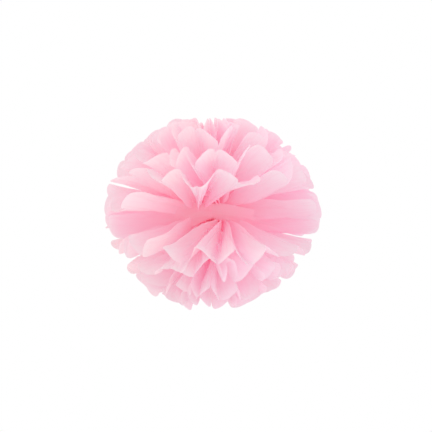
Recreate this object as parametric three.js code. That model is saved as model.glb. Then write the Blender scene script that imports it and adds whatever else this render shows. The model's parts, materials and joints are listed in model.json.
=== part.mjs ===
// A tissue paper pom pom. Ten sheets of tissue are laid on each other, folded together into an
// accordion, cut round at both ends, tied round the middle with a wire and then pulled apart, five
// sheets up and five down, so that the round ends stand as petals all over a ball.
// The pleats run along Y, each sheet's length along X, and the sheets part along Z. The origin is
// the middle of the tie.
import * as THREE from "three";

// Driving dimensions, in millimetres and degrees.
const SHEET_LENGTH = 254; // one sheet laid flat, from petal tip to petal tip
const PLEAT_WIDTH = 30; // one fold of the accordion, which is one petal wide
const PLEATS = 16; // folds across a sheet, and so petals on each of its two fans
const PETAL_ROUND = 14; // depth of the round cut at a petal's end
const PAPER = 0.4; // wall of a sheet
const SHEETS_PER_HALF = 5; // sheets pulled up, and as many pulled down
const FIRST_LIFT = 10; // slope of the two sheets next to the middle plane
const LAST_LIFT = 72; // slope of the highest and the lowest sheet
const TIP_DROOP = 0.27; // share of its slope that a petal loses towards its tip
const POLE_CLEAR = 6; // how far the steepest fold stays from upright
const FAN_SEAM = 2; // gap left between the two fans of a sheet, at the tips
const WAIST_WIDTH = 16; // the gathered middle of a sheet, across its pleats
const WAIST_LENGTH = 4; // the gathered middle of a sheet, along its length
const WAIST_RISE = 0.5; // half the height of the crushed pleats in the middle
const SHEET_GAP = 0.7; // clear height between two sheets in the middle
const WIRE = 0.9; // diameter of the tie wire
const WIRE_CLEARANCE = 0.3; // gap between the tie wire and the gathered sheets
const TAIL_LENGTH = 13; // the two wire ends, twisted together behind the middle
const TAIL_TURNS = 3; // twists along that length
const TAIL_CLEARANCE = 0.2; // gap between the two twisted strands

// How finely the shapes are faceted.
const FACETS_PER_PLEAT = 3;
const WIRE_SIDES = 8; // an even number
const WIRE_STEPS = 80;
const TWIST_POINTS_PER_TURN = 8;
const CORNER_POINTS = 4;

// Sizes that follow from the driving ones.
const SHEET_WIDTH = PLEAT_WIDTH * PLEATS;
const NOTCH = (SHEET_LENGTH - WAIST_LENGTH) / 2 - PETAL_ROUND; // from the tied middle to between two petals
const SHEET_PITCH = PAPER * 2 + SHEET_GAP; // a crushed pleat slopes, so its wall is taller than it is thick
const SHEET_COUNT = SHEETS_PER_HALF * 2;
const LIFT_STEP = (LAST_LIFT - FIRST_LIFT) / Math.max(1, SHEETS_PER_HALF - 1);

const UNDERSIDE = 5; // a box's six sides are numbered, and the one facing -Z is the last
const radians = THREE.MathUtils.degToRad;
const UP = new THREE.Vector3(0, 0, 1);

// An opened pleat is as high as its width leaves room for once the fan has spread it.
const OPEN_SPREAD = NOTCH * (Math.PI / PLEATS);
const PLEAT_RISE = Math.sqrt(Math.max(0, PLEAT_WIDTH ** 2 - OPEN_SPREAD ** 2)) / 2;
const PLEAT_TILT = radians(90 - LAST_LIFT - POLE_CLEAR); // the most a fold leaves its sheet's slope by
const KNEE = Math.min(PLEAT_RISE / Math.tan(PLEAT_TILT), NOTCH / 2); // where a pleat is first fully open

const tissue = new THREE.MeshStandardMaterial({ color: 0xf9bfd3, roughness: 0.85, metalness: 0 });
const wireSteel = new THREE.MeshStandardMaterial({ color: 0xc9c9c6, roughness: 0.35, metalness: 1 });

// Which way a fold stands out of its sheet: +1 and -1 at one fold and the next, straight between.
function foldSide(pleat) {
  const turn = THREE.MathUtils.euclideanModulo(pleat, 2);
  return turn < 1 ? 1 - 2 * turn : 2 * turn - 3;
}

// How far the cut edge of a sheet lies from its bend, at a place across the pleats.
function cutEdge(sheet, pleat) {
  const across = 2 * (pleat - Math.floor(pleat)) - 1;
  return sheet.reach - PETAL_ROUND * (1 - Math.sqrt(Math.max(0, 1 - across ** 2)));
}

// Half the height of the pleats at a distance from the bend.
function pleatRise(distance) {
  return Math.max(WAIST_RISE, Math.min(distance * Math.tan(PLEAT_TILT), PLEAT_RISE));
}

// Where a point of the flat sheet goes once the sheet is folded, tied, fanned and lifted.
// pleat runs from 0 at the front edge to PLEATS at the back one, side is +1 or -1 for the right or
// left fan, distance is measured from the bend beside the tie, and proud is the height out of the
// sheet.
function folded(sheet, pleat, side, distance, proud) {
  const fanStep = (2 * sheet.fanEdge) / PLEATS;
  const azimuth = fanStep * pleat - sheet.fanEdge;
  const outward = new THREE.Vector3(side * Math.cos(azimuth), Math.sin(azimuth), 0);
  const sloped = (angle) =>
    outward.clone().multiplyScalar(Math.cos(angle)).addScaledVector(UP, Math.sin(angle));

  const baseSlope = radians(sheet.lift);
  const tipSlope = baseSlope * (1 - TIP_DROOP);
  const slope = distance > KNEE ? tipSlope : distance > 0 ? baseSlope : 0;
  const normal = sloped(slope + Math.PI / 2);

  const spread = sheet.waist / PLEATS + distance * Math.cos(slope) * fanStep;
  const rise = pleatRise(distance);
  const wallSlant = Math.hypot(spread, 2 * rise) / spread; // keeps the wall's thickness on a sloping pleat

  return new THREE.Vector3(side * sheet.bend, (pleat / PLEATS - 0.5) * sheet.waist, sheet.height)
    .addScaledVector(sloped(baseSlope), Math.min(distance, KNEE))
    .addScaledVector(sloped(tipSlope), Math.max(distance - KNEE, 0))
    .addScaledVector(normal, foldSide(pleat) * rise + proud * wallSlant);
}

// Splits a slab's underside along the same diagonals as its upper side. A twisted patch of paper is
// then two triangles with two parallel ones below them, and the wall between keeps its thickness.
function matchDiagonals(slab) {
  const index = slab.getIndex();
  const { start, count } = slab.groups.find((group) => group.materialIndex === UNDERSIDE);
  for (let i = start; i < start + count; i += 6) {
    const [a, b, d, , c] = index.array.slice(i, i + 6);
    index.array.set([a, b, c, a, c, d], i);
  }
}

// One sheet: a flat slab of paper, ruled at its folds and rows, with every corner then moved to its
// folded place. The rows, from one end to the other, are the cut edge, the place where the pleats
// are open and the bend beside the tie, on the left fan and then on the right one.
function tissueSheet(sheet) {
  const edge = (pleat) => cutEdge(sheet, pleat);
  const rows = [
    { side: -1, distance: edge },
    { side: -1, distance: () => KNEE },
    { side: -1, distance: () => 0 },
    { side: 1, distance: () => 0 },
    { side: 1, distance: () => KNEE },
    { side: 1, distance: edge },
  ];
  const bands = rows.length - 1;
  const facets = PLEATS * FACETS_PER_PLEAT;
  const slab = new THREE.BoxGeometry(SHEET_LENGTH, SHEET_WIDTH, PAPER, bands, facets, 1);
  const corners = slab.getAttribute("position");
  for (let i = 0; i < corners.count; i++) {
    const row = rows[Math.round((corners.getX(i) / SHEET_LENGTH + 0.5) * bands)];
    const facet = Math.round((corners.getY(i) / SHEET_WIDTH + 0.5) * facets);
    const pleat = facet / FACETS_PER_PLEAT;
    const place = folded(sheet, pleat, row.side, row.distance(pleat), corners.getZ(i));
    corners.setXYZ(i, place.x, place.y, place.z);
  }
  matchDiagonals(slab);
  slab.computeVertexNormals();
  const mesh = new THREE.Mesh(slab, tissue);
  mesh.name = sheet.name;
  return mesh;
}

// The wire's line: in along one twisted tail, round the gathered middle, and out along the other.
function tieLine(plan) {
  const widest = Math.max(...plan.map((sheet) => sheet.waist));
  const stackHalf = ((SHEET_COUNT - 1) * SHEET_PITCH) / 2 + WAIST_RISE + PAPER * 2;
  const away = WIRE_CLEARANCE + WIRE / 2;
  const halfWidth = widest / 2 + PAPER + away;
  const halfHeight = stackHalf + away;
  const twistRadius = (WIRE + TAIL_CLEARANCE) / 2;

  const strand = (phase) => {
    const count = TAIL_TURNS * TWIST_POINTS_PER_TURN;
    return Array.from({ length: count + 1 }, (_, i) => {
      const angle = phase + (i / count) * TAIL_TURNS * 2 * Math.PI;
      const y = halfWidth + WIRE + (i / count) * TAIL_LENGTH;
      return new THREE.Vector3(twistRadius * Math.sin(angle), y, twistRadius * Math.cos(angle));
    });
  };

  const bend = (ySide, zSide, from) =>
    Array.from({ length: CORNER_POINTS + 1 }, (_, i) => {
      const angle = from + ((i / CORNER_POINTS) * Math.PI) / 2;
      return new THREE.Vector3(
        0,
        ySide * (halfWidth - away) + away * Math.cos(angle),
        zSide * (halfHeight - away) + away * Math.sin(angle),
      );
    });

  return new THREE.CatmullRomCurve3(
    [
      ...strand(0).reverse(),
      ...bend(1, 1, 0),
      ...bend(-1, 1, Math.PI / 2),
      ...bend(-1, -1, Math.PI),
      ...bend(1, -1, (3 * Math.PI) / 2),
      ...strand(Math.PI),
    ],
    false,
    "centripetal",
  );
}

function tieWire(plan) {
  const section = new THREE.Shape().absarc(0, 0, WIRE / 2, 0, 2 * Math.PI, false);
  const geometry = new THREE.ExtrudeGeometry(section, {
    extrudePath: tieLine(plan),
    steps: WIRE_STEPS,
    curveSegments: WIRE_SIDES / 2, // an arc gets two facets for each segment
    bevelEnabled: false,
  });
  const mesh = new THREE.Mesh(geometry, wireSteel);
  mesh.name = "tie_wire";
  return mesh;
}

// How much further out than the steepest sheet each of the sheets of one half bends away from the
// tied middle, so that it keeps its distance from the steeper one inside it.
function bendOffsets() {
  const offsets = [0];
  for (let i = SHEETS_PER_HALF - 2; i >= 0; i--) {
    const between = radians(FIRST_LIFT + (i + 0.5) * LIFT_STEP);
    offsets.unshift(offsets[0] + SHEET_PITCH * Math.tan(between / 2));
  }
  return offsets;
}

// The sheets from the middle outwards, those pulled up and then those pulled down. Each fan opens
// until its two outer edges meet those of the other fan, but for the seam.
function sheetPlan() {
  return [
    { word: "upper", sense: 1 },
    { word: "lower", sense: -1 },
  ].flatMap(({ word, sense }) =>
    bendOffsets().map((offset, i) => {
      const bend = WAIST_LENGTH / 2 + offset;
      const reach = SHEET_LENGTH / 2 - bend;
      return {
        name: `${word}_sheet_${i + 1}`,
        lift: sense * (FIRST_LIFT + i * LIFT_STEP),
        height: sense * (i + 0.5) * SHEET_PITCH,
        waist: WAIST_WIDTH + 2 * offset,
        bend,
        reach,
        fanEdge: Math.PI / 2 + Math.asin((bend - FAN_SEAM / 2) / reach),
      };
    }),
  );
}

const plan = sheetPlan();
const pomPom = new THREE.Group();
pomPom.add(...plan.map(tissueSheet), tieWire(plan));

export default pomPom;
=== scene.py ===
"""A tissue paper pom pom: ten pleated sheets tied round the middle and pulled apart into a ball of petals."""

import json
import logging
import math
from dataclasses import dataclass, field
from enum import Enum
from typing import Any, Mapping, Optional, Union

import bpy
import numpy as np
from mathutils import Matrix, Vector

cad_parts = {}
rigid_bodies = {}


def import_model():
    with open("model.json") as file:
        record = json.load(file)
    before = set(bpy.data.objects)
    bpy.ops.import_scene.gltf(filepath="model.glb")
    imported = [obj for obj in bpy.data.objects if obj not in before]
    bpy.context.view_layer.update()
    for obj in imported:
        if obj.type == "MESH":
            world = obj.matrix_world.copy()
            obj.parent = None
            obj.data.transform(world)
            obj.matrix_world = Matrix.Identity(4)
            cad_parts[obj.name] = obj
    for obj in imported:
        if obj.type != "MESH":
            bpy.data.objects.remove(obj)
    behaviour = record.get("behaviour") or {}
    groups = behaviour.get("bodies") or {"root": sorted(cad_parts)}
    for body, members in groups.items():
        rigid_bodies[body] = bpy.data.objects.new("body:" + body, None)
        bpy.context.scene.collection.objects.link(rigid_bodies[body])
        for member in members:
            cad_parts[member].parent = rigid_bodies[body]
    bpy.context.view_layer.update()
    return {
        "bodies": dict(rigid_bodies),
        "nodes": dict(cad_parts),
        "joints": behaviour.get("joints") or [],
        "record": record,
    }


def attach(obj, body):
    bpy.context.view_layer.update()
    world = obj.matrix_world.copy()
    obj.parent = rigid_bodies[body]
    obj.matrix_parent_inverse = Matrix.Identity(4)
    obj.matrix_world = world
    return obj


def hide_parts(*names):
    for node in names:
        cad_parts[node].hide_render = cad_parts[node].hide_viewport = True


LOG = logging.getLogger("pom_pom")
BOUNCES = 160  # light goes on from petal to petal for long in paper that takes up so little of it
NOISE_MIDDLE = 0.5  # what a noise texture, from 0 to 1, gives on average

Operand = Union["Term", float]
Key = Union[str, int]
Triple = tuple[float, float, float]
Colour = tuple[float, float, float, float]


class Graph:
    """A node tree that nodes are added to, one by one or as arithmetic on their sockets."""

    def __init__(self, tree: bpy.types.NodeTree) -> None:
        """Starts on a tree, which may hold nodes already."""
        self.tree = tree

    def feed(self, socket: bpy.types.NodeSocket, value: Any) -> None:
        """Links a term to an input socket, or sets the socket's own value.

        Args:
            socket: The input socket.
            value: A Term to link, or a plain value to set.
        """
        if isinstance(value, Term):
            self.tree.links.new(value.socket, socket)
        else:
            socket.default_value = value

    def node(
        self,
        kind: str,
        settings: Optional[Mapping[str, Any]] = None,
        inputs: Optional[Mapping[Key, Any]] = None,
    ) -> bpy.types.Node:
        """Adds one node.

        Args:
            kind: The node's type.
            settings: Its properties, set before its sockets.
            inputs: A value or a Term for each socket, by the socket's name or number.

        Returns:
            The new node.
        """
        node = self.tree.nodes.new(kind)
        for name, value in (settings or {}).items():
            setattr(node, name, value)
        for key, value in (inputs or {}).items():
            self.feed(node.inputs[key], value)
        return node

    def term(
        self,
        kind: str,
        output: Key,
        settings: Optional[Mapping[str, Any]] = None,
        inputs: Optional[Mapping[Key, Any]] = None,
    ) -> "Term":
        """Adds one node and gives one of its outputs.

        Args:
            kind: The node's type.
            output: The output's name or number.
            settings: As for node.
            inputs: As for node.

        Returns:
            The output, ready for arithmetic.
        """
        return Term(self, self.node(kind, settings, inputs).outputs[output])

    def math(self, operation: str, *operands: Operand) -> "Term":
        """Adds a Math node.

        Args:
            operation: Its operation.
            operands: Its inputs, in order.

        Returns:
            Its result.
        """
        return self.term("ShaderNodeMath", 0, {"operation": operation}, dict(enumerate(operands)))

    def clamp(self, value: Operand) -> "Term":
        """Gives the value, kept from 0 to 1."""
        return self.math("MINIMUM", self.math("MAXIMUM", value, 0.0), 1.0)

    def vector(self, x: Operand, y: Operand, z: Operand) -> "Term":
        """Joins three numbers to a vector."""
        return self.term("ShaderNodeCombineXYZ", 0, None, {0: x, 1: y, 2: z})

    def vector_math(self, operation: str, output: Key, *operands: Any) -> "Term":
        """Adds a Vector Math node.

        Args:
            operation: Its operation.
            output: The output that is wanted, "Vector" or "Value".
            operands: Its inputs, in order.

        Returns:
            That output.
        """
        settings = {"operation": operation}
        return self.term("ShaderNodeVectorMath", output, settings, dict(enumerate(operands)))

    def scaled(self, vector: "Term", factor: Operand) -> "Term":
        """Multiplies a vector by a number."""
        settings = {"operation": "SCALE"}
        return self.term("ShaderNodeVectorMath", "Vector", settings, {0: vector, "Scale": factor})

    def mix(self, factor: Operand, first: Any, second: Any) -> "Term":
        """Mixes two colours."""
        return self.term("ShaderNodeMix", 2, {"data_type": "RGBA"}, {0: factor, 6: first, 7: second})

    def noise(
        self, vector: "Term", detail: float, roughness: float = 0.5, scale: float = 1.0, output: str = "Fac"
    ) -> "Term":
        """Adds a Noise Texture.

        Args:
            vector: Where it is read.
            detail: How many finer layers it has.
            roughness: How strong those are.
            scale: How fine it is.
            output: "Fac" for a number or "Color" for three.

        Returns:
            That output.
        """
        inputs = {"Vector": vector, "Scale": scale, "Detail": detail, "Roughness": roughness}
        return self.term("ShaderNodeTexNoise", output, None, inputs)

    def bump(
        self, height: "Term", strength: float, distance: float, normal: Optional["Term"] = None
    ) -> "Term":
        """Adds a Bump node.

        Args:
            height: The height, from 0 to 1.
            strength: How much of it shows.
            distance: How high 1 stands, in metres.
            normal: The normal to start from, if not the surface's own.

        Returns:
            The bumped normal.
        """
        inputs = {"Strength": strength, "Distance": distance, "Height": height}
        if normal is not None:
            inputs["Normal"] = normal
        return self.term("ShaderNodeBump", 0, None, inputs)


@dataclass(frozen=True)
class Term:
    """One output of a node, for use in Python arithmetic or as the input of another node."""

    graph: Graph
    socket: bpy.types.NodeSocket

    def __add__(self, other: Operand) -> "Term":
        """Adds."""
        return self.graph.math("ADD", self, other)

    def __radd__(self, other: float) -> "Term":
        """Adds to a plain number."""
        return self.graph.math("ADD", other, self)

    def __sub__(self, other: Operand) -> "Term":
        """Subtracts."""
        return self.graph.math("SUBTRACT", self, other)

    def __rsub__(self, other: float) -> "Term":
        """Subtracts from a plain number."""
        return self.graph.math("SUBTRACT", other, self)

    def __mul__(self, other: Operand) -> "Term":
        """Multiplies."""
        return self.graph.math("MULTIPLY", self, other)

    def __rmul__(self, other: float) -> "Term":
        """Multiplies a plain number."""
        return self.graph.math("MULTIPLY", other, self)

    def __truediv__(self, other: Operand) -> "Term":
        """Divides."""
        return self.graph.math("DIVIDE", self, other)

    def __neg__(self) -> "Term":
        """Changes the sign."""
        return self.graph.math("MULTIPLY", self, -1.0)


class Half(Enum):
    """Which way a sheet was pulled."""

    UPPER = "upper"
    LOWER = "lower"

    @property
    def sense(self) -> int:
        """+1 for up and -1 for down."""
        return 1 if self is Half.UPPER else -1


class Side(Enum):
    """One of the two fans of a sheet, as seen from the front."""

    LEFT = -1
    RIGHT = 1


@dataclass(frozen=True)
class TissuePaper:
    """The finish of the sheets: thin, matt, pink, and clear enough to glow against the light."""

    name: str = "pink_tissue"
    # Painted light and shade: the base colour goes from core at the tie to tip at the petal ends, standing in
    # for how light falls into the ball, not for a change in the paper.
    tip: Colour = (1.0, 0.875, 0.935, 1.0)
    core: Colour = (1.0, 0.90, 0.945, 1.0)
    through: Colour = (1.0, 0.875, 0.93, 1.0)
    # Painted shade: the deeper pink laid along the crease lines stands in for the shade in the fine creases.
    creased: Colour = (1.0, 0.76, 0.85, 1.0)
    fibrous: Colour = (1.0, 0.93, 0.96, 1.0)
    translucency: float = 0.55
    uneven_translucency: float = 0.15
    roughness: float = 0.85
    sheen: float = 0.2
    core_spread: float = 1.4
    blotch_scale: float = 60.0
    blotch_share: float = 0.35
    fibre_scale: Triple = (900.0, 260.0, 1.0)
    fibre_from: float = 0.6
    fibre_contrast: float = 2.0
    fibre_height: float = 0.0003
    fibre_relief: float = 0.06
    crease_scale: Triple = (130.0, 11.0, 1.0)
    # How thin the painted crease shade lines are, and how much of the deeper creased pink they take.
    crease_sharpness: float = 22.0
    crease_shade_share: float = 0.55
    crease_height: float = 0.0012
    crease_relief: float = 0.12

    def material(self) -> bpy.types.Material:
        """Makes the material.

        Returns:
            A matt and a translucent shader mixed, with fibres, blotches and fine creases along the folds,
            painted shade along the crease lines, and painted light and shade from the tie out to the petal
            tips.
        """
        material = bpy.data.materials.new(self.name)
        material.use_nodes = True
        material.node_tree.nodes.clear()
        g = Graph(material.node_tree)
        flat = g.term("ShaderNodeUVMap", "UV", {"uv_map": "flat"})
        along = g.term("ShaderNodeAttribute", "Fac", {"attribute_name": "along"})
        blotch = g.noise(flat, detail=3.0, roughness=0.6, scale=self.blotch_scale)
        fibre_map = g.vector_math("MULTIPLY", "Vector", flat, self.fibre_scale)
        fibre = g.noise(fibre_map, detail=4.0, roughness=0.65)
        crease_map = g.vector_math("MULTIPLY", "Vector", flat, self.crease_scale)
        crease = g.noise(crease_map, detail=2.0)
        # Painted light and shade along the petal, from the core colour to the tip colour, with the paper's
        # own random blotches on top.
        outward = g.math("POWER", g.math("ABSOLUTE", along), self.core_spread)
        depth = g.clamp(outward + (blotch - NOISE_MIDDLE) * self.blotch_share)
        light_and_blotch_tint = g.mix(depth, self.core, self.tip)
        # Painted shade: thin lines along the crease noise take the deeper creased pink.
        crease_shade_line = g.clamp(1.0 - g.math("ABSOLUTE", crease - NOISE_MIDDLE) * self.crease_sharpness)
        crease_shaded = g.mix(crease_shade_line * self.crease_shade_share, light_and_blotch_tint, self.creased)
        pale = g.clamp((fibre - self.fibre_from) * self.fibre_contrast)
        colour = g.mix(pale, crease_shaded, self.fibrous)
        creased = g.bump(crease, self.crease_relief, self.crease_height)
        bumped = g.bump(fibre, self.fibre_relief, self.fibre_height, creased)
        matt = g.term(
            "ShaderNodeBsdfPrincipled",
            0,
            None,
            {
                "Base Color": colour,
                "Roughness": self.roughness,
                "Specular IOR Level": self.sheen,
                "Normal": bumped,
            },
        )
        glow = g.term("ShaderNodeBsdfTranslucent", 0, None, {"Color": self.through, "Normal": bumped})
        share = self.translucency + (fibre - NOISE_MIDDLE) * self.uneven_translucency
        paper = g.term("ShaderNodeMixShader", 0, None, {0: share, 1: matt, 2: glow})
        g.node("ShaderNodeOutputMaterial", None, {"Surface": paper})
        return material


@dataclass(frozen=True)
class DrawnWire:
    """The finish of the tie: bright drawn steel with fine lines round it."""

    name: str = "drawn_wire"
    colour: Colour = (0.72, 0.72, 0.70, 1.0)
    roughness: float = 0.25
    uneven_roughness: float = 0.2
    streak_scale: Triple = (9000.0, 300.0, 9000.0)
    streak_height: float = 0.0001
    streak_relief: float = 0.2

    def material(self) -> bpy.types.Material:
        """Makes the material.

        Returns:
            A metal whose roughness and height vary in fine streaks.
        """
        material = bpy.data.materials.new(self.name)
        material.use_nodes = True
        material.node_tree.nodes.clear()
        g = Graph(material.node_tree)
        place = g.term("ShaderNodeTexCoord", "Object")
        streak_map = g.vector_math("MULTIPLY", "Vector", place, self.streak_scale)
        streak = g.noise(streak_map, detail=3.0)
        steel = g.term(
            "ShaderNodeBsdfPrincipled",
            0,
            None,
            {
                "Base Color": self.colour,
                "Metallic": 1.0,
                "Roughness": self.roughness + streak * self.uneven_roughness,
                "Normal": g.bump(streak, self.streak_relief, self.streak_height),
            },
        )
        g.node("ShaderNodeOutputMaterial", None, {"Surface": steel})
        return material


@dataclass
class FoldingTree:
    """The Geometry Nodes tree that folds a flat sheet, ties it, fans it out and lifts it."""

    sizes: Mapping[str, float]
    opening_blend: float = 0.3
    softening: float = 1.3
    grown_at: float = 0.5
    tip_from: float = 0.45
    crumple_scale: Triple = (95.0, 30.0, 1.0)
    stray_scale: tuple[float, float] = (1.3, 1.6)
    stray: float = 2.2
    gathered_until: float = 0.9
    drift_scale: float = 11.0
    drift_roughness: float = 0.4
    drift_from: float = 0.02
    drift_over: float = 0.08
    tree: bpy.types.GeometryNodeTree = field(init=False)
    identifiers: dict[str, str] = field(init=False, default_factory=dict)

    def __post_init__(self) -> None:
        """Builds the tree with one named input for each size."""
        self.tree = bpy.data.node_groups.new("fold_tissue_sheet", "GeometryNodeTree")
        interface = self.tree.interface
        interface.new_socket("Geometry", in_out="INPUT", socket_type="NodeSocketGeometry")
        interface.new_socket("Geometry", in_out="OUTPUT", socket_type="NodeSocketGeometry")
        for name, value in self.sizes.items():
            socket = interface.new_socket(name, in_out="INPUT", socket_type="NodeSocketFloat")
            socket.default_value = value
            self.identifiers[name] = socket.identifier
        socket = interface.new_socket("Paper", in_out="INPUT", socket_type="NodeSocketMaterial")
        self.identifiers["Paper"] = socket.identifier
        self._wire(Graph(self.tree))

    def _wire(self, g: Graph) -> None:
        """Adds the nodes.

        Args:
            g: The empty tree.
        """
        group = g.node("NodeGroupInput")
        size = {name: Term(g, group.outputs[name]) for name in self.sizes}
        slip = Term(g, group.outputs["Geometry"])
        place = self._drifted(g, size, self._place(g, size))
        folded = g.term("GeometryNodeSetPosition", 0, None, {0: slip, "Position": place})
        crisp = g.term("GeometryNodeSetShadeSmooth", 0, None, {0: folded, "Shade Smooth": False})
        real = g.term("GeometryNodeRealizeInstances", 0, None, {0: crisp})
        paper = Term(g, group.outputs["Paper"])
        dressed = g.term("GeometryNodeSetMaterial", 0, None, {0: real, "Material": paper})
        g.node("NodeGroupOutput", None, {0: dressed})

    @staticmethod
    def _told(g: Graph, name: str) -> Term:
        """Reads one of the flat slip's own attributes."""
        return g.term("GeometryNodeInputNamedAttribute", 0, {"data_type": "FLOAT"}, {"Name": name})

    def _place(self, g: Graph, size: Mapping[str, Term]) -> Term:
        """Finds where a point of the flat slip goes.

        Args:
            g: The tree.
            size: Its inputs, by name.

        Returns:
            The point's place in the ball.
        """
        pleat, along, azimuth, dome = (self._told(g, name) for name in ("pleat", "along", "azimuth", "dome"))
        slope_base, slope_tip = self._told(g, "slope_base"), self._told(g, "slope_tip")
        side = g.math("SIGN", along)
        cut = size["Length"] * 0.5 - size["Petal round"] * (1.0 - dome)
        from_middle = g.math("ABSOLUTE", along) * cut
        reach = size["Length"] * 0.5 - size["Bend"]
        distance = g.math("MAXIMUM", from_middle - size["Bend"], 0.0)

        # A petal bends evenly, so it ends on the chord of an arc, which is a little shorter than the arc.
        turn = (slope_tip - slope_base) / reach
        half_turn = turn * distance * 0.5
        chord = slope_base + half_turn
        shrink = 1.0 - half_turn * half_turn / 6.0
        out = distance * g.math("COSINE", chord) * shrink
        up = distance * g.math("SINE", chord) * shrink
        slope = slope_base + turn * distance
        proud = self._proud(g, size, distance, distance / reach)

        # At the front the folds leave the tie sideways, so that the middle can be looked into.
        frontness = 0.5 - 0.5 * g.math("SINE", azimuth)
        fading = g.math("EXPONENT", distance / (size["Core depth"] * -1.0))
        swung = azimuth * (1.0 - size["Core opening"] * frontness * fading)
        outward_x, outward_y = side * g.math("COSINE", swung), g.math("SINE", swung)
        radial = out - g.math("SINE", slope) * proud

        # A loose first pleat lies in front of the tie, highest at its edge and lowest at its fold.
        apart = from_middle / size["Loose span"]
        arch = g.math("EXPONENT", -(apart * apart))
        edge, loose = g.clamp(1.0 - pleat), g.clamp(1.0 - pleat * 0.5)
        forward = size["Loose reach"] * arch * loose * (2.0 - loose)
        raised = arch * (size["Loose rise"] * edge * edge - size["Loose hang"] * 4.0 * loose * (1.0 - loose))
        return g.vector(
            side * g.math("MINIMUM", from_middle, size["Bend"]) + outward_x * radial,
            g.math("SINE", azimuth) * size["Waist"] * 0.5 + outward_y * radial - forward,
            size["Height"] + (up + g.math("COSINE", slope) * proud) * size["Settled"] + raised,
        )

    def _proud(self, g: Graph, size: Mapping[str, Term], distance: Term, share: Term) -> Term:
        """Finds how far a point stands out of its sheet's slope.

        Args:
            g: The tree.
            size: Its inputs, by name.
            distance: How far the point is from the bend beside the tie.
            share: The same as a share of the petal's length.

        Returns:
            The height, from the fold, the petal's own bulge and curl, crumpling and the gathers at the tie.
        """
        pleat, along, swing, swell = (self._told(g, name) for name in ("pleat", "along", "swing", "swell"))
        curl, bulge = self._told(g, "curl"), self._told(g, "bulge")
        tied = size["Tie rise"] + distance * g.math("TANGENT", size["Pleat tilt"])
        opened = g.math("SMOOTH_MIN", tied / size["Full swing"], 1.0, self.opening_blend)
        fold = swing + (swell - swing) * size["Softness"] * g.clamp(share * self.softening)
        grown = g.clamp(share / self.grown_at)
        tipped = g.clamp((share - self.tip_from) / (1.0 - self.tip_from))
        seat = g.vector(pleat * size["Pleat width"], along * size["Length"] * 0.5, size["Seed"])
        crumple_map = g.vector_math("MULTIPLY", "Vector", seat, self.crumple_scale)
        crumple = g.noise(crumple_map, detail=2.0)
        stray_map = g.vector(pleat * self.stray_scale[0], along * self.stray_scale[1], size["Gather seed"])
        wave = pleat * size["Gathers"] + g.noise(stray_map, detail=1.0) * self.stray
        gather = g.math("SINE", wave * (2.0 * math.pi))
        squeezed = g.clamp(1.0 - share / self.gathered_until) * share
        return (
            fold * opened
            + bulge * grown
            + curl * tipped * tipped
            + (crumple - NOISE_MIDDLE) * size["Crumple"] * grown
            + gather * size["Gather"] * squeezed
        )

    def _drifted(self, g: Graph, size: Mapping[str, Term], place: Term) -> Term:
        """Pushes neighbouring petals about together.

        Args:
            g: The tree.
            size: Its inputs, by name.
            place: A point's place in the ball.

        Returns:
            The place, moved a little unless it is near the tie.
        """
        far = g.vector_math("LENGTH", "Value", place)
        drift = g.noise(
            place, detail=1.0, roughness=self.drift_roughness, scale=self.drift_scale, output="Color"
        )
        drift = g.vector_math("SUBTRACT", "Vector", drift, (NOISE_MIDDLE,) * 3)
        drift = g.scaled(drift, size["Drift"] * g.clamp((far - self.drift_from) / self.drift_over))
        return g.vector_math("ADD", "Vector", place, drift)


@dataclass(frozen=True)
class Tousle:
    """How uneven the sheets come out of being pulled apart by hand, in degrees and metres."""

    shared_swing: float = 0.22
    own_swing: float = 0.16
    shared_raise: float = 3.0
    own_raise: float = 1.4
    raise_at_base: float = 0.5
    raise_at_tip: float = 1.4
    curl: float = 0.006
    mean_curl: float = -0.003
    bulge: float = 0.0025

    @staticmethod
    def smoothed(values: np.ndarray) -> np.ndarray:
        """Averages each value with its neighbours."""
        padded = np.concatenate([values[:1], values, values[-1:]])
        return 0.25 * padded[:-2] + 0.5 * padded[1:-1] + 0.25 * padded[2:]


@dataclass
class Stack:
    """What all the sheets share before they are pulled apart, in metres and degrees."""

    length: float = 0.254
    pleat_width: float = 0.030
    pleats: int = 16
    petal_round: float = 0.013
    bend: float = 0.0025
    waist: float = 0.016
    pitch: float = 0.0013
    tie_rise: float = 0.0012
    full_swing: float = 0.01
    pleat_tilt: float = 13.0
    softness: float = 0.8
    crumple: float = 0.004
    gather: float = 0.0098
    gathers: float = 2.0
    core_opening: float = 0.85
    core_depth: float = 0.024
    drift: float = 0.014
    loose_span: float = 0.042
    facets: int = 16
    rows: int = 48
    seed: int = 15
    half_seed: float = 50.0
    sheet_seed: float = 7.0
    tousle: Tousle = Tousle()

    @property
    def width(self) -> float:
        """One sheet's flat width, across its pleats."""
        return self.pleat_width * self.pleats

    @property
    def flat_area(self) -> float:
        """One sheet's flat area, less what the round cuts take off its two ends."""
        lost = (1 - math.pi / 4) * self.pleat_width * self.petal_round
        return self.width * self.length - 2 * self.pleats * lost

    def inputs(self) -> dict[str, float]:
        """Gives the folding tree's inputs.

        Returns:
            A value for each input, by name, with those that differ from sheet to sheet at rest.
        """
        return {
            "Length": self.length,
            "Pleat width": self.pleat_width,
            "Petal round": self.petal_round,
            "Bend": self.bend,
            "Waist": self.waist,
            "Height": 0.0,
            "Tie rise": self.tie_rise,
            "Pleat tilt": math.radians(self.pleat_tilt),
            "Full swing": self.full_swing,
            "Softness": self.softness,
            "Crumple": self.crumple,
            "Gather": self.gather,
            "Gathers": self.gathers,
            "Gather seed": 0.0,
            "Core opening": self.core_opening,
            "Core depth": self.core_depth,
            "Drift": self.drift,
            "Settled": 1.0,
            "Loose span": self.loose_span,
            "Loose reach": 0.0,
            "Loose rise": 0.0,
            "Loose hang": 0.0,
            "Seed": 0.0,
        }


@dataclass(frozen=True)
class LoosePleat:
    """How far a sheet's first pleat lies out of the tie: forwards, up at its edge and down at its fold."""

    reach: float = 0.0
    rise: float = 0.0
    hang: float = 0.0


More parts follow.
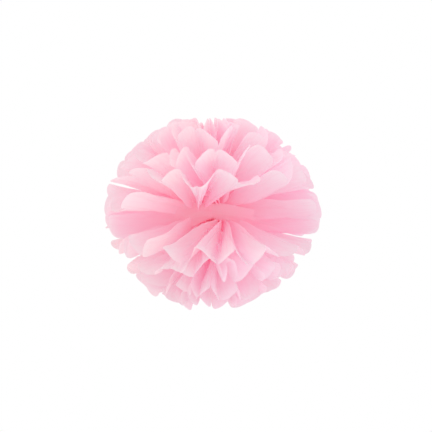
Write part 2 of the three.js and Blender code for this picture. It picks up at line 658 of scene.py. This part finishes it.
@dataclass
class Sheet:
    """One sheet of tissue: a flat ruled slip, folded by the tree into two fans of petals."""

    stack: Stack
    half: Half
    number: int
    slope_base: float
    slope_tip: float
    front: Mapping[Side, float]
    back: Mapping[Side, float]
    calm: Mapping[Side, np.ndarray]
    settled: float
    loose: LoosePleat
    halvings: int = 40
    nearly_shut: float = 0.985
    shared_stream: int = 100

    @property
    def name(self) -> str:
        """The finished piece's name."""
        return f"petals_{self.half.value}_{self.number}"

    @property
    def node(self) -> str:
        """The solid that the piece stands for."""
        return f"{self.half.value}_sheet_{self.number}"

    def _rng(self, *more: int) -> np.random.Generator:
        """A random source of its own for each use."""
        return np.random.default_rng([self.stack.seed, 0 if self.half is Half.UPPER else 1, *more])

    def _swings(self, uneven: np.ndarray, total: float) -> tuple[np.ndarray, np.ndarray]:
        """Finds how far the folds stand out, so that their pleats, each of its full width, fill the fan.

        Args:
            uneven: How far each fold stands out beside the others.
            total: The angle that the fan spans, in radians.

        Returns:
            How far each fold stands out, and the angle from each to the next.
        """
        width = self.stack.pleat_width
        notch = self.stack.length / 2 - self.stack.bend - self.stack.petal_round
        radius = notch * math.cos(math.radians((self.slope_base + self.slope_tip) / 2))
        low, high = 0.0, width
        for _ in range(self.halvings):
            middle = 0.5 * (low + high)
            apart = np.clip(middle * (uneven[1:] + uneven[:-1]), 0.0, self.nearly_shut * width)
            steps = np.sqrt(width**2 - apart**2) / radius
            low, high = (middle, high) if steps.sum() > total else (low, middle)
        return np.minimum(low * uneven, 0.5 * width), steps * total / steps.sum()

    def _fan(self, side: Side) -> dict[str, np.ndarray]:
        """Sets out one fan.

        Args:
            side: Which of the two.

        Returns:
            Everything that differs across the pleats, at each column from the front edge to the back.
        """
        stack, tousle = self.stack, self.stack.tousle
        count = stack.pleats
        index = 0 if side is Side.LEFT else 1
        shared = self._rng(self.shared_stream, index)
        own = self._rng(self.number, index)
        uneven = np.exp(
            tousle.shared_swing * shared.standard_normal(count + 1)
            + tousle.own_swing * own.standard_normal(count + 1)
        )
        uneven = uneven * self.calm[side]
        swing, steps = self._swings(uneven, math.radians(self.front[side] + self.back[side]))
        swing = swing * np.where(np.arange(count + 1) % 2, -1.0, 1.0)
        azimuth = math.radians(-self.front[side]) + np.concatenate([[0.0], np.cumsum(steps)])
        raised = tousle.shared_raise * Tousle.smoothed(shared.standard_normal(count + 1))
        raised = self.half.sense * (raised + tousle.own_raise * own.standard_normal(count + 1))
        slope_base = np.radians(self.slope_base + tousle.raise_at_base * raised)
        slope_tip = np.radians(self.slope_tip + tousle.raise_at_tip * raised)

        pleat = self._columns()
        folds = np.arange(count + 1)
        petal = np.minimum(pleat.astype(int), count - 1)
        dome = self._dome(pleat)
        eased = petal + 0.5 - 0.5 * np.cos(math.pi * (pleat - petal))
        curl = self.half.sense * (tousle.mean_curl + tousle.curl * own.standard_normal(count))
        bulge = tousle.bulge * own.standard_normal(count)
        return {
            "azimuth": np.interp(pleat, folds, azimuth),
            "swing": np.interp(pleat, folds, swing),
            "swell": np.interp(eased, folds, swing),
            "slope_base": np.interp(eased, folds, slope_base),
            "slope_tip": np.interp(eased, folds, slope_tip),
            "curl": curl[petal] * dome,
            "bulge": bulge[petal] * dome**2,
            "dome": dome,
        }

    def _columns(self) -> np.ndarray:
        """The ruled columns of the flat slip, counted in pleats."""
        return np.linspace(0.0, self.stack.pleats, self.stack.pleats * self.stack.facets + 1)

    @staticmethod
    def _dome(pleat: np.ndarray) -> np.ndarray:
        """How round a petal's end is at each column: 0 at a fold and 1 at the petal's middle."""
        return np.sqrt(np.maximum(0, 1 - (2 * (pleat - np.floor(pleat)) - 1) ** 2))

    def flat_slip(self) -> bpy.types.Mesh:
        """Rules the flat sheet.

        Returns:
            A flat mesh with its fold and row at each point as attributes, and its flat place as a UV map.
        """
        stack = self.stack
        pleat = self._columns()
        columns = len(pleat)
        along = np.linspace(-1.0, 1.0, 2 * stack.rows + 1)
        cut = stack.length / 2 - stack.petal_round * (1 - self._dome(pleat))
        grid_along, grid_pleat = np.meshgrid(along, pleat, indexing="ij")
        across = (grid_pleat - stack.pleats / 2) * stack.pleat_width
        points = np.stack([grid_along * cut[None, :], across, 0 * across], axis=-1).reshape(-1, 3)
        row, column = np.meshgrid(np.arange(len(along) - 1), np.arange(columns - 1), indexing="ij")
        first = (row * columns + column).ravel()
        faces = np.stack([first, first + columns, first + columns + 1, first + 1], axis=-1)

        mesh = bpy.data.meshes.new(self.name)
        mesh.from_pydata(points.tolist(), [], faces.tolist())
        layer = mesh.uv_layers.new(name="flat")
        layer.data.foreach_set("uv", points[faces.ravel()][:, [1, 0]].astype(np.float32).ravel())
        values = {"pleat": grid_pleat, "along": grid_along}
        left, right = self._fan(Side.LEFT), self._fan(Side.RIGHT)
        for name in left:
            values[name] = np.where(grid_along < 0, left[name][None, :], right[name][None, :])
        for name, value in values.items():
            attribute = mesh.attributes.new(name, "FLOAT", "POINT")
            attribute.data.foreach_set("value", value.astype(np.float32).ravel())
        return mesh

    def build(self, folding: FoldingTree, paper: bpy.types.Material) -> bpy.types.Object:
        """Folds the slip and takes the result as a plain mesh.

        Args:
            folding: The tree.
            paper: The sheet's finish.

        Returns:
            The finished piece.
        """
        piece = bpy.data.objects.new(self.name, self.flat_slip())
        bpy.context.scene.collection.objects.link(piece)
        modifier = piece.modifiers.new("fold", "NODES")
        modifier.node_group = folding.tree
        inputs = self.stack.inputs()
        inputs["Height"] = self.half.sense * (self.number - 0.5) * self.stack.pitch
        inputs["Settled"] = self.settled
        inputs["Loose reach"] = self.loose.reach
        inputs["Loose rise"] = self.loose.rise
        inputs["Loose hang"] = self.loose.hang
        inputs["Gather seed"] = self.stack.half_seed * self.half.sense
        inputs["Seed"] = inputs["Gather seed"] + self.stack.sheet_seed * self.number
        for name, value in inputs.items():
            modifier[folding.identifiers[name]] = value
        modifier[folding.identifiers["Paper"]] = paper
        graph = bpy.context.evaluated_depsgraph_get()
        folded = bpy.data.meshes.new_from_object(piece.evaluated_get(graph))
        piece.modifiers.remove(modifier)
        slip = piece.data
        piece.data = folded
        bpy.data.meshes.remove(slip)
        folded.name = self.name
        return piece

    def join_frame(self, piece: bpy.types.Object) -> None:
        """Ties the piece to the solid that it stands for.

        Args:
            piece: The finished piece.
        """
        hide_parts(self.node)
        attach(piece, "root")


@dataclass
class PomPom:
    """The ball: the sheets of both halves and the wire round their middle."""

    stack: Stack = field(default_factory=Stack)
    paper: TissuePaper = TissuePaper()
    wire: DrawnWire = DrawnWire()
    first_slope: float = 10.0
    last_slope: Mapping[Half, float] = field(default_factory=lambda: {Half.UPPER: 82.0, Half.LOWER: 80.0})
    tip_share: float = 0.72
    settled: Mapping[Half, float] = field(default_factory=lambda: {Half.UPPER: 0.9, Half.LOWER: 0.86})
    loose_pleat: LoosePleat = LoosePleat(reach=0.028, rise=0.013, hang=0.003)
    sheets_per_half: int = 5
    seam_turn: float = 33.75
    seam_gap: float = 1.0
    flat_left: float = 0.9
    flat_sheets: float = 1.8
    flat_width: float = 0.5
    open_front: Mapping[Half, tuple[float, float]] = field(
        default_factory=lambda: {Half.UPPER: (46.0, 24.0), Half.LOWER: (24.0, 14.0)}
    )

    def plan(self) -> list[Sheet]:
        """Sets out the sheets.

        Returns:
            Those of the upper half from the middle outwards, and then those of the lower half.
        """
        sheets = []
        for half in Half:
            for i in range(self.sheets_per_half):
                share = i / (self.sheets_per_half - 1)
                slope = half.sense * (self.first_slope + share * (self.last_slope[half] - self.first_slope))
                turned = self.seam_turn * (1 if i % 2 else -1) * half.sense
                meeting = 90.0 - self.seam_gap
                front = (meeting + turned, meeting - turned) if i else self.open_front[half]
                sheets.append(
                    Sheet(
                        stack=self.stack,
                        half=half,
                        number=i + 1,
                        slope_base=slope,
                        slope_tip=slope * self.tip_share,
                        front={Side.LEFT: front[0], Side.RIGHT: front[1]},
                        back={Side.LEFT: meeting - turned, Side.RIGHT: meeting + turned},
                        calm={Side.LEFT: self._calm(i), Side.RIGHT: np.ones(self.stack.pleats + 1)},
                        settled=self.settled[half],
                        loose=self.loose_pleat if (half, i) == (Half.LOWER, 0) else LoosePleat(),
                    )
                )
        return sheets

    def _calm(self, index: int) -> np.ndarray:
        """Says how far the folds of a left fan stand out beside those elsewhere.

        Args:
            index: The sheet's place, counted from the middle plane.

        Returns:
            A share for each fold: less than 1 where the fan was pulled flat, near the middle plane.
        """
        place = np.linspace(-1.0, 1.0, self.stack.pleats + 1)
        flat = self.flat_left * math.exp(-((index / self.flat_sheets) ** 2))
        return 1.0 - flat * np.exp(-((place / self.flat_width) ** 4))

    def build(self, frame: Mapping[str, Any]) -> None:
        """Builds every sheet and finishes the wire.

        Args:
            frame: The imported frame.
        """
        folding = FoldingTree(self.stack.inputs())
        paper = self.paper.material()
        for sheet in self.plan():
            piece = sheet.build(folding, paper)
            sheet.join_frame(piece)
            area = sum(face.area for face in piece.data.polygons)
            LOG.info("%s: %.2f of its flat area", piece.name, area / self.stack.flat_area)
        tie = frame["nodes"]["tie_wire"]
        tie.data.materials.clear()
        tie.data.materials.append(self.wire.material())
        LOG.info("%s: finished as %s", tie.name, self.wire.name)


@dataclass(frozen=True)
class Lamp:
    """A soft square lamp that faces the ball, in metres and watts."""

    name: str
    place: Triple
    watts: float
    colour: Triple
    size: float = 1.3

    def hang(self) -> None:
        """Puts the lamp into the scene."""
        data = bpy.data.lights.new(self.name, "AREA")
        data.size = self.size
        data.energy = self.watts
        data.color = self.colour
        lamp = bpy.data.objects.new(self.name, data)
        bpy.context.scene.collection.objects.link(lamp)
        lamp.location = self.place
        lamp.rotation_mode = "QUATERNION"
        lamp.rotation_quaternion = (-Vector(self.place)).to_track_quat("-Z", "Y")


@dataclass
class Studio:
    """The camera, the lights, the world and the floor, in metres and degrees."""

    frame_px: float = 432.0
    field_width: float = 0.518
    distance: float = 1.5
    elevation: float = 2.0
    centre_px: tuple[float, float] = (211.5, 214.0)
    sensor: float = 36.0
    world_strength: float = 0.83
    floor_drop: float = 0.55
    floor_radius: float = 1.25
    floor_sides: int = 96
    floor_colour: Colour = (0.93, 0.93, 0.93, 1.0)
    floor_roughness: float = 0.9
    lamps: tuple[Lamp, ...] = (
        Lamp("right_lamp", (1.8, -0.4, -0.5), 7.0, (1.0, 0.55, 1.0)),
        Lamp("left_lamp", (-1.7, -0.4, 1.1), 6.0, (1.0, 0.95, 0.45)),
    )

    def build(self) -> None:
        """Sets all of it up."""
        self._camera()
        self._world()
        self._floor()
        for lamp in self.lamps:
            lamp.hang()

    def _camera(self) -> None:
        """Puts the camera level with the ball, in front of it."""
        data = bpy.data.cameras.new("camera")
        data.sensor_width = self.sensor
        data.lens = self.sensor * self.distance / self.field_width
        data.dof.use_dof = False
        camera = bpy.data.objects.new("camera", data)
        bpy.context.scene.collection.objects.link(camera)
        metres_per_px = self.field_width / self.frame_px
        right = (self.frame_px / 2 - self.centre_px[0]) * metres_per_px
        up = (self.centre_px[1] - self.frame_px / 2) * metres_per_px
        angle = math.radians(self.elevation)
        back = Vector((0, -math.cos(angle), math.sin(angle)))
        camera.rotation_mode = "QUATERNION"
        camera.rotation_quaternion = (-back).to_track_quat("-Z", "Y")
        camera.location = back * self.distance + camera.rotation_quaternion @ Vector((right, up, 0))
        bpy.context.scene.camera = camera

    def _world(self) -> None:
        """Makes an even soft light that is seen as plain white."""
        world = bpy.data.worlds.new("soft_white")
        world.use_nodes = True
        world.node_tree.nodes.clear()
        g = Graph(world.node_tree)
        path = g.node("ShaderNodeLightPath")
        seen = Term(g, path.outputs["Is Camera Ray"]) + Term(g, path.outputs["Is Glossy Ray"])
        seen = g.clamp(seen + Term(g, path.outputs["Is Transmission Ray"]))
        strength = self.world_strength + seen * (1.0 - self.world_strength)
        white = {"Color": (1.0, 1.0, 1.0, 1.0), "Strength": strength}
        light = g.term("ShaderNodeBackground", 0, None, white)
        g.node("ShaderNodeOutputWorld", None, {"Surface": light})
        bpy.context.scene.world = world

    def _floor(self) -> None:
        """Lays a pale floor well below the hanging ball."""
        angles = np.linspace(0, 2 * math.pi, self.floor_sides, endpoint=False)
        radius = self.floor_radius
        ring = [(radius * math.cos(a), radius * math.sin(a), -self.floor_drop) for a in angles]
        mesh = bpy.data.meshes.new("floor")
        mesh.from_pydata(ring, [], [list(range(self.floor_sides))])
        material = bpy.data.materials.new("pale_floor")
        material.use_nodes = True
        shader = material.node_tree.nodes["Principled BSDF"]
        shader.inputs["Base Color"].default_value = self.floor_colour
        shader.inputs["Roughness"].default_value = self.floor_roughness
        mesh.materials.append(material)
        floor = bpy.data.objects.new("floor", mesh)
        bpy.context.scene.collection.objects.link(floor)


def main() -> None:
    """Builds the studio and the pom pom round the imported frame."""
    logging.basicConfig(level=logging.INFO, format="%(name)s: %(message)s")
    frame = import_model()
    scene = bpy.context.scene
    scene.view_settings.view_transform = "Standard"
    scene.cycles.max_bounces = BOUNCES
    scene.cycles.diffuse_bounces = BOUNCES
    scene.cycles.transmission_bounces = BOUNCES
    Studio().build()
    PomPom().build(frame)


if __name__ == "__main__":
    main()
